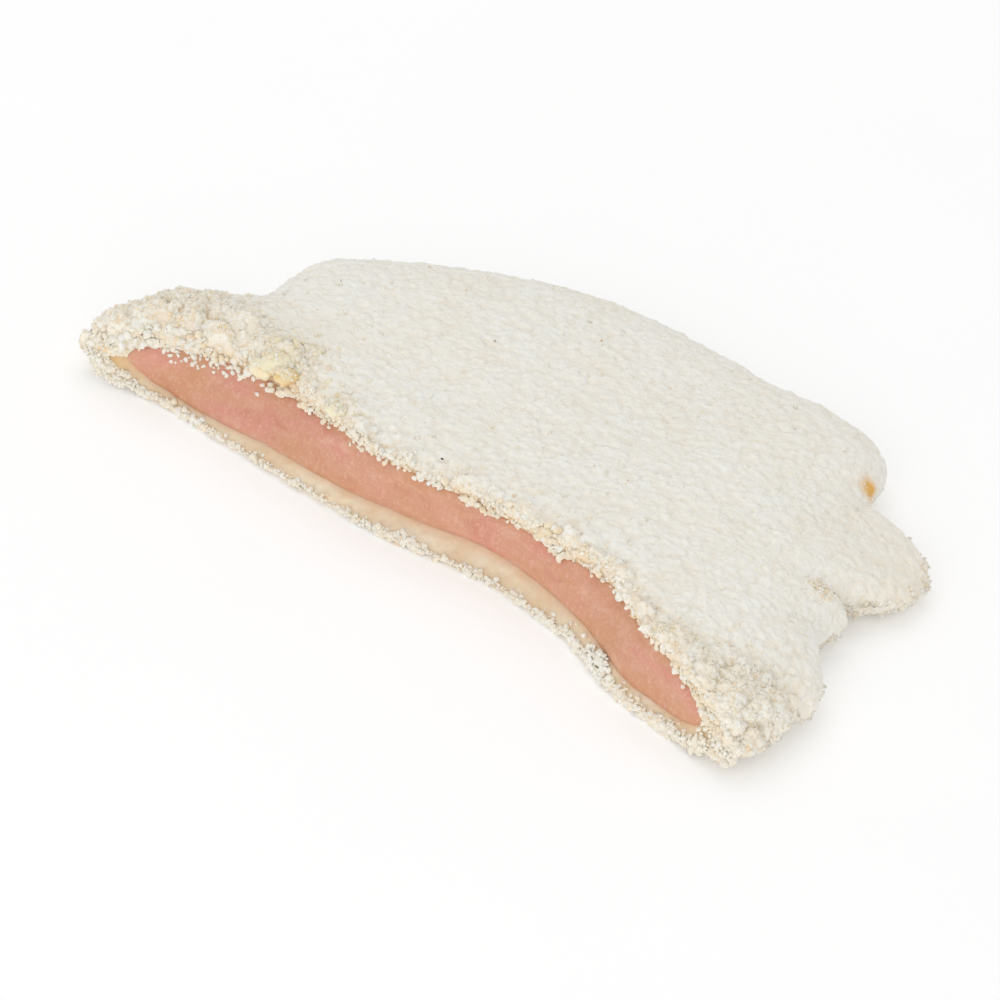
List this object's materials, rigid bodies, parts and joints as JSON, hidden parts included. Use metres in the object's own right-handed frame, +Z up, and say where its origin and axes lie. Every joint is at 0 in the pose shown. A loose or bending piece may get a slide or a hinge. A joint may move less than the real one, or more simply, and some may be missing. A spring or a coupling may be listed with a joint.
{
  "type": "crumbed chicken schnitzel",
  "caption": "Cut half of an uncooked chicken schnitzel: a flat breast fillet in an egg and flour layer and a coat of fresh white breadcrumb, open at the cut.",
  "frame": {"origin": "under the middle of the piece's box, on the flat underside that it rests on", "axes": "+X along the cut, +Y from the cut face to the rounded back edge, +Z up through the crumbed top"},
  "size_m": [0.1546, 0.0918, 0.0163],
  "materials": {
    "crumb": "rough, dry and crumbly",
    "egg_flour": "moist paste",
    "chicken": "moist raw meat"
  },
  "bodies": {
    "root": {"crumb_coat": "crumb", "egg_flour_layer": "egg_flour", "chicken_fillet": "chicken"}
  },
  "joints": []
}
